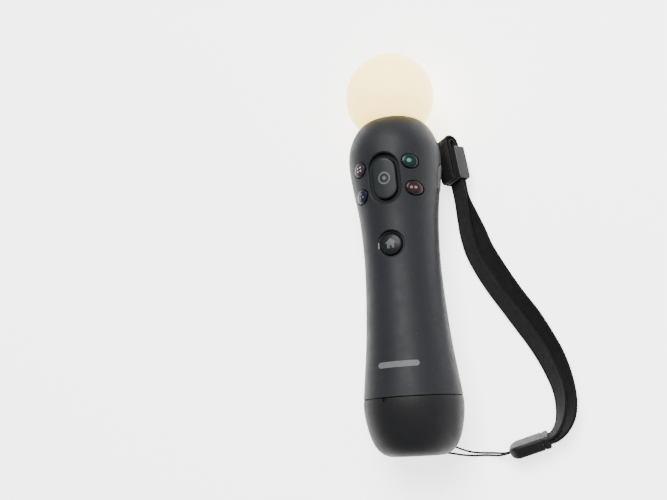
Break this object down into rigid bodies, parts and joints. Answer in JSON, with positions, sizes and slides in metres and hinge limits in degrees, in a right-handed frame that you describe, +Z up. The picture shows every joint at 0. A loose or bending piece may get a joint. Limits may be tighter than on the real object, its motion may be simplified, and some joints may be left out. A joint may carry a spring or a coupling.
{
  "type": "vr motion controller",
  "caption": "Handheld motion controller lying on its back: light ball, oval and round face buttons, side buttons, rear trigger, base sockets, and a webbing wrist strap with joint and slider.",
  "frame": {"origin": "on the floor under the middle of the controller's length, strap not counted", "axes": "+Y along the handle from the base end to the ball, +Z up, which is the button face, +X to the side where the strap lies"},
  "size_m": [0.094, 0.2042, 0.046],
  "materials": {
    "shell_plastic": "fine matt texture",
    "cap_plastic": "fine matt texture",
    "ball_plastic": "smooth, slightly soft, milky",
    "frame_plastic": "moulded",
    "clear_plastic": "frosted clear plastic",
    "board_laminate": "solder mask",
    "led_body": "white package",
    "tin_plate": "tinned",
    "chip_black": "moulded",
    "plunger_white": "moulded",
    "main_gloss": "satin gloss with a grey mark",
    "action_gloss_a": "smoky clear over a teal mark",
    "action_gloss_b": "smoky clear over a pink mark",
    "action_gloss_c": "smoky clear over a blue mark",
    "action_gloss_d": "smoky clear over a mauve mark",
    "home_gloss": "satin gloss with a pale mark",
    "button_black": "satin",
    "steel": "plain",
    "cell_foil": "foil pack in blue wrap",
    "lead_red": "insulated",
    "lead_grey": "insulated",
    "boot_rubber": "moulded",
    "weight_brass": "sintered",
    "socket_black": "moulded",
    "contact_brass": "plated",
    "cord_black": "woven nylon",
    "joint_black": "moulded",
    "slider_grey": "moulded"
  },
  "bodies": {
    "controller": {"front_shell": "shell_plastic", "rear_shell": "shell_plastic", "base_cap": "cap_plastic", "light_sphere": "ball_plastic", "sphere_collar": "frame_plastic", "light_guide": "clear_plastic", "led_board": "board_laminate", "rgb_led": "led_body", "main_board": "board_laminate", "shield_can": "tin_plate", "chips": "chip_black", "tact_switches": "chip_black", "side_boards": "board_laminate", "side_switches": "chip_black", "trigger_bracket": "frame_plastic", "trigger_pin": "steel", "trigger_sensor_board": "board_laminate", "trigger_sensor": "chip_black", "inner_frame": "frame_plastic", "battery_pack": "cell_foil", "battery_leads": "lead_red", "battery_connector": "plunger_white", "motor_can": "tin_plate", "motor_boot": "boot_rubber", "status_light_pipe": "clear_plastic", "usb_board": "board_laminate", "usb_socket": "tin_plate", "expansion_socket": "socket_black", "charge_contacts": "contact_brass", "reset_switch": "chip_black", "base_leads": "lead_grey", "lanyard_bar": "steel", "case_screws": "steel", "board_screws": "steel", "lanyard_cord": "cord_black", "strap_joint": "joint_black", "strap_webbing": "cord_black"},
    "main_button": {"main_button": "main_gloss", "main_plunger": "plunger_white"},
    "action_a": {"action_button_a": "action_gloss_a", "action_plunger_a": "plunger_white"},
    "action_b": {"action_button_b": "action_gloss_b", "action_plunger_b": "plunger_white"},
    "action_c": {"action_button_c": "action_gloss_c", "action_plunger_c": "plunger_white"},
    "action_d": {"action_button_d": "action_gloss_d", "action_plunger_d": "plunger_white"},
    "home_button": {"home_button": "home_gloss", "home_plunger": "plunger_white"},
    "start_button": {"start_button": "button_black", "start_plunger": "plunger_white"},
    "select_button": {"select_button": "button_black", "select_plunger": "plunger_white"},
    "trigger": {"trigger": "button_black", "trigger_magnet": "steel", "trigger_spring": "steel"},
    "reset_button": {"reset_button": "button_black"},
    "motor_rotor": {"motor_rotor": "weight_brass"},
    "slider": {"strap_slider": "slider_grey"}
  },
  "joints": [
    {"name": "main_press", "type": "slide", "parent": "controller", "child": "main_button", "axis": [0, 0, -1], "range_m": [0, 0.0009], "stiffness_N_per_m": 800, "springref_m": -0.0008},
    {"name": "action_a_press", "type": "slide", "parent": "controller", "child": "action_a", "axis": [0, 0, -1], "range_m": [0, 0.0008], "stiffness_N_per_m": 800, "springref_m": -0.0008},
    {"name": "action_b_press", "type": "slide", "parent": "controller", "child": "action_b", "axis": [0, 0, -1], "range_m": [0, 0.0008], "stiffness_N_per_m": 800, "springref_m": -0.0008},
    {"name": "action_c_press", "type": "slide", "parent": "controller", "child": "action_c", "axis": [0, 0, -1], "range_m": [0, 0.0008], "stiffness_N_per_m": 800, "springref_m": -0.0008},
    {"name": "action_d_press", "type": "slide", "parent": "controller", "child": "action_d", "axis": [0, 0, -1], "range_m": [0, 0.0008], "stiffness_N_per_m": 800, "springref_m": -0.0008},
    {"name": "home_press", "type": "slide", "parent": "controller", "child": "home_button", "axis": [0, 0, -1], "range_m": [0, 0.0008], "stiffness_N_per_m": 800, "springref_m": -0.0008},
    {"name": "start_press", "type": "slide", "parent": "controller", "child": "start_button", "axis": [-1, 0, 0], "range_m": [0, 0.0007], "stiffness_N_per_m": 800, "springref_m": -0.0008},
    {"name": "select_press", "type": "slide", "parent": "controller", "child": "select_button", "axis": [1, 0, 0], "range_m": [0, 0.0007], "stiffness_N_per_m": 800, "springref_m": -0.0008},
    {"name": "reset_press", "type": "slide", "parent": "controller", "child": "reset_button", "axis": [0, 1, 0], "range_m": [0, 0.0003], "stiffness_N_per_m": 800, "springref_m": -0.0006},
    {"name": "trigger_pull", "type": "hinge", "parent": "controller", "child": "trigger", "pos_m": [0, 0.0425, 0.0085], "axis": [-1, 0, 0], "range_deg": [0, 11], "stiffness_Nm_per_rad": 0.1, "springref_deg": -22.92},
    {"name": "motor_spin", "type": "hinge", "parent": "controller", "child": "motor_rotor", "pos_m": [0, 0, 0.0166], "axis": [0, 1, 0], "continuous": true},
    {"name": "slider_slide", "type": "slide", "parent": "controller", "child": "slider", "axis": [0.1045, -0.9945, 0], "range_m": [0, 0.007]}
  ]
}
